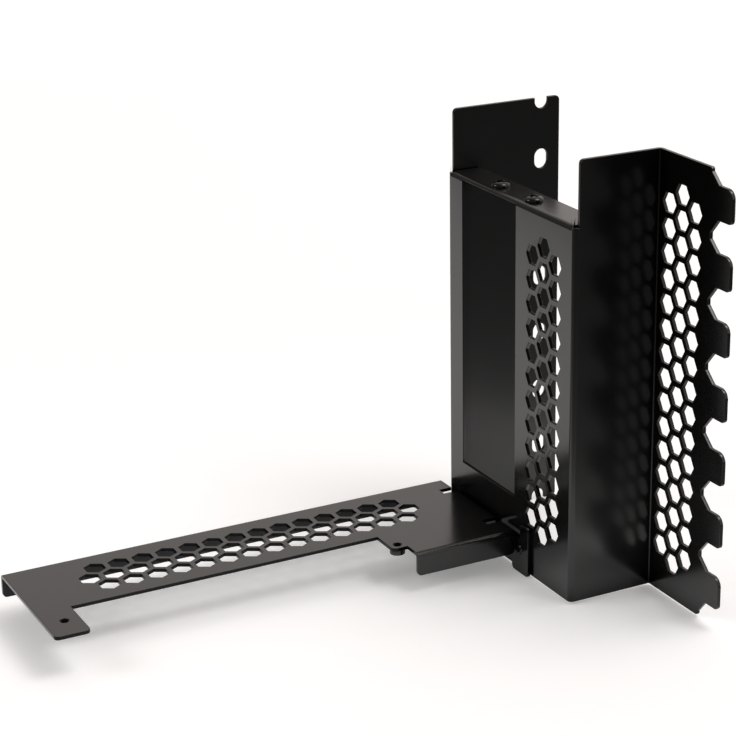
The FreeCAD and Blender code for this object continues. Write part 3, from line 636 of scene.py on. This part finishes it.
class BRACKET_OT_riser_threads(Operator):
    """Line the two riser holes with their tapped threads"""
    bl_idname = "card_bracket.riser_threads"
    bl_label = "Riser threads"

    def execute(self, context):
        tap = context.scene.card_bracket_taps
        tree_named("threaded_rod", threaded_rod)
        piece = made_by(tree_named("tapped_rings", tapped_rings), "riser_threads", {
            "Count": 2, "Top": Vector(tap.first_hole) - Vector((0.0, 0.0, tap.tap_start)),
            "Step": (-tap.hole_pitch, 0.0, 0.0), "Hole Radius": tap.hole_radius,
            "Depth": tap.hole_depth - tap.tap_start, "Thread Pitch": tap.tap_pitch,
            "Thread Depth": tap.tap_depth,
            "Finish": finish_named("tapped_coat", tapped_coat, context.scene.card_bracket_sheets)})
        closed_and_smooth(piece, THREAD_CREASE)
        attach(piece, BODY)
        return {"FINISHED"}


def floor_light_pool(stage):
    """Pale matt floor whose colour darkens softly beyond its right, front and left edges: a painted pool of
    light with painted shade around it.
    """
    material = bpy.data.materials.new("floor_light_pool")
    material.use_nodes = True
    tree = material.node_tree
    shader = tree.nodes["Principled BSDF"]
    where = tree.nodes.new("ShaderNodeTexCoord").outputs["Object"]
    beyond = 0.0
    for heading, edge in ((stage.right_heading, stage.pool_right), (stage.front_heading, stage.pool_front),
                          (stage.left_heading, stage.pool_left)):
        way_out = along(tree, where, (math.sin(heading), -math.cos(heading), 0.0))
        beyond = maths(tree, "MAXIMUM", beyond, maths(tree, "SUBTRACT", way_out, edge))
    # Painted shade: the floor's colour fades beyond the edges of the painted pool of light.
    fade = maths(tree, "DIVIDE", stage.half_dark, maths(tree, "ADD", stage.half_dark, beyond))
    pale = add(tree, "ShaderNodeMapRange", {0: fade, 3: stage.far_pale}).outputs[0]
    tint = add(tree, "ShaderNodeMix", {"Factor": pale, "A": (0.0, 0.0, 0.0, 1.0),
                                       "B": (*stage.floor_colour, 1.0)}, data_type="RGBA").outputs["Result"]
    light = tree.nodes.new("ShaderNodeLightPath").outputs
    seen = maths(tree, "MAXIMUM", maths(tree, "MAXIMUM", light["Is Camera Ray"], light["Is Glossy Ray"]),
                 light["Is Transmission Ray"])
    tree.links.new(tint, shader.inputs["Base Color"])
    tree.links.new(tint, shader.inputs["Emission Color"])
    away = along(tree, where, (math.sin(stage.camera_heading), math.cos(stage.camera_heading), 0.0))
    glow = add(tree, "ShaderNodeMapRange", {0: away, 1: stage.glow_near, 2: stage.glow_far,
                                            3: stage.floor_glow, 4: stage.far_glow}).outputs[0]
    tree.links.new(maths(tree, "MULTIPLY", seen, glow), shader.inputs["Emission Strength"])
    shader.inputs["Roughness"].default_value = 1.0
    shader.inputs["Specular IOR Level"].default_value = 0.0
    return material


def soft_box(name, power, spot, aim, side):
    """A square area lamp at spot that faces aim."""
    lamp = bpy.data.lights.new(name, "AREA")
    lamp.shape = "RECTANGLE"
    lamp.size = lamp.size_y = side
    lamp.energy = power
    holder = bpy.data.objects.new(name, lamp)
    holder.location = spot
    holder.rotation_euler = (Vector(aim) - Vector(spot)).to_track_quat("-Z", "Y").to_euler()
    bpy.context.scene.collection.objects.link(holder)


class BRACKET_OT_stage(Operator):
    """Lay the floor and set the lamps, the surroundings and the camera"""
    bl_idname = "card_bracket.stage"
    bl_label = "Stage"

    def execute(self, context):
        scene, stage = context.scene, context.scene.card_bracket_stage
        half = stage.floor_half
        corners = [(-half, -half, 0), (half, -half, 0), (half, half, 0), (-half, half, 0)]
        sheet = bpy.data.meshes.new("floor")
        sheet.from_pydata(corners, [], [(0, 1, 2, 3)])
        sheet.materials.append(floor_light_pool(stage))
        floor = new_object("floor", sheet)
        floor.location.z = CAD_BOX[0].z

        soft_box("top_box", stage.top_light, stage.top_place, stage.lamp_aim, stage.box_side)
        soft_box("side_box", stage.side_light, stage.side_place, stage.lamp_aim, stage.box_side)
        world = bpy.data.worlds.new("studio")
        world.use_nodes = True
        tree = world.node_tree
        sky = tree.nodes["Background"]
        sky.inputs["Color"].default_value = (*stage.sky_colour, 1.0)
        towards = tree.nodes.new("ShaderNodeTexCoord").outputs["Generated"]
        right = add(tree, "ShaderNodeSeparateXYZ", {0: towards}).outputs["X"]
        glow = add(tree, "ShaderNodeMapRange", {0: right, 1: SKY_LEFT, 2: SKY_RIGHT,
                                                3: stage.sky * stage.left_sky, 4: stage.sky},
                   interpolation_type="SMOOTHSTEP")
        tree.links.new(glow.outputs[0], sky.inputs["Strength"])
        scene.world = world

        lens = bpy.data.cameras.new("camera")
        lens.sensor_width = 36.0
        lens.lens = stage.camera_lens
        lens.shift_x, lens.shift_y = stage.camera_shift
        lens.clip_start, lens.clip_end = 0.01, 50.0
        camera = bpy.data.objects.new("camera", lens)
        camera.matrix_world = (Matrix.Translation(stage.camera_place)
                               @ Matrix.Rotation(-stage.camera_heading, 4, "Z")
                               @ Matrix.Rotation(math.pi / 2 - stage.camera_fall, 4, "X")
                               @ Matrix.Rotation(stage.camera_roll, 4, "Z"))
        scene.collection.objects.link(camera)
        scene.camera = camera
        scene.view_settings.view_transform = "Standard"
        return {"FINISHED"}


class BRACKET_PT_pieces(Panel):
    """Lists the pieces and their settings"""
    bl_idname = "BRACKET_PT_pieces"
    bl_label = "Card bracket"
    bl_space_type = "VIEW_3D"
    bl_region_type = "UI"
    bl_category = "Card bracket"

    def draw(self, context):
        for operator in OPERATORS:
            self.layout.operator(operator.bl_idname)
        for group in SETTINGS:
            box = self.layout.box()
            values = getattr(context.scene, group)
            for key in values.bl_rna.properties.keys():
                if key not in ("rna_type", "name"):
                    box.prop(values, key)


OPERATORS = (BRACKET_OT_bracket_sheet, BRACKET_OT_tray_sheet, BRACKET_OT_card_screws, BRACKET_OT_tray_screws,
             BRACKET_OT_riser_threads, BRACKET_OT_stage)
SETTINGS = {"card_bracket_sheets": SheetSettings, "card_bracket_screws": ScrewSettings,
            "card_bracket_taps": TapSettings, "card_bracket_stage": StageSettings}


def register():
    for group in SETTINGS.values():
        bpy.utils.register_class(group)
    for key, group in SETTINGS.items():
        setattr(bpy.types.Scene, key, PointerProperty(type=group))
    for operator in OPERATORS:
        bpy.utils.register_class(operator)
    bpy.utils.register_class(BRACKET_PT_pieces)


def unregister():
    bpy.utils.unregister_class(BRACKET_PT_pieces)
    for operator in reversed(OPERATORS):
        bpy.utils.unregister_class(operator)
    for key in SETTINGS:
        delattr(bpy.types.Scene, key)
    for group in SETTINGS.values():
        bpy.utils.unregister_class(group)


def main():
    register()
    bpy.ops.card_bracket.bracket_sheet()
    bpy.ops.card_bracket.tray_sheet()
    bpy.ops.card_bracket.card_screws()
    bpy.ops.card_bracket.tray_screws()
    bpy.ops.card_bracket.riser_threads()
    bpy.ops.card_bracket.stage()


if __name__ == "__main__":
    main()
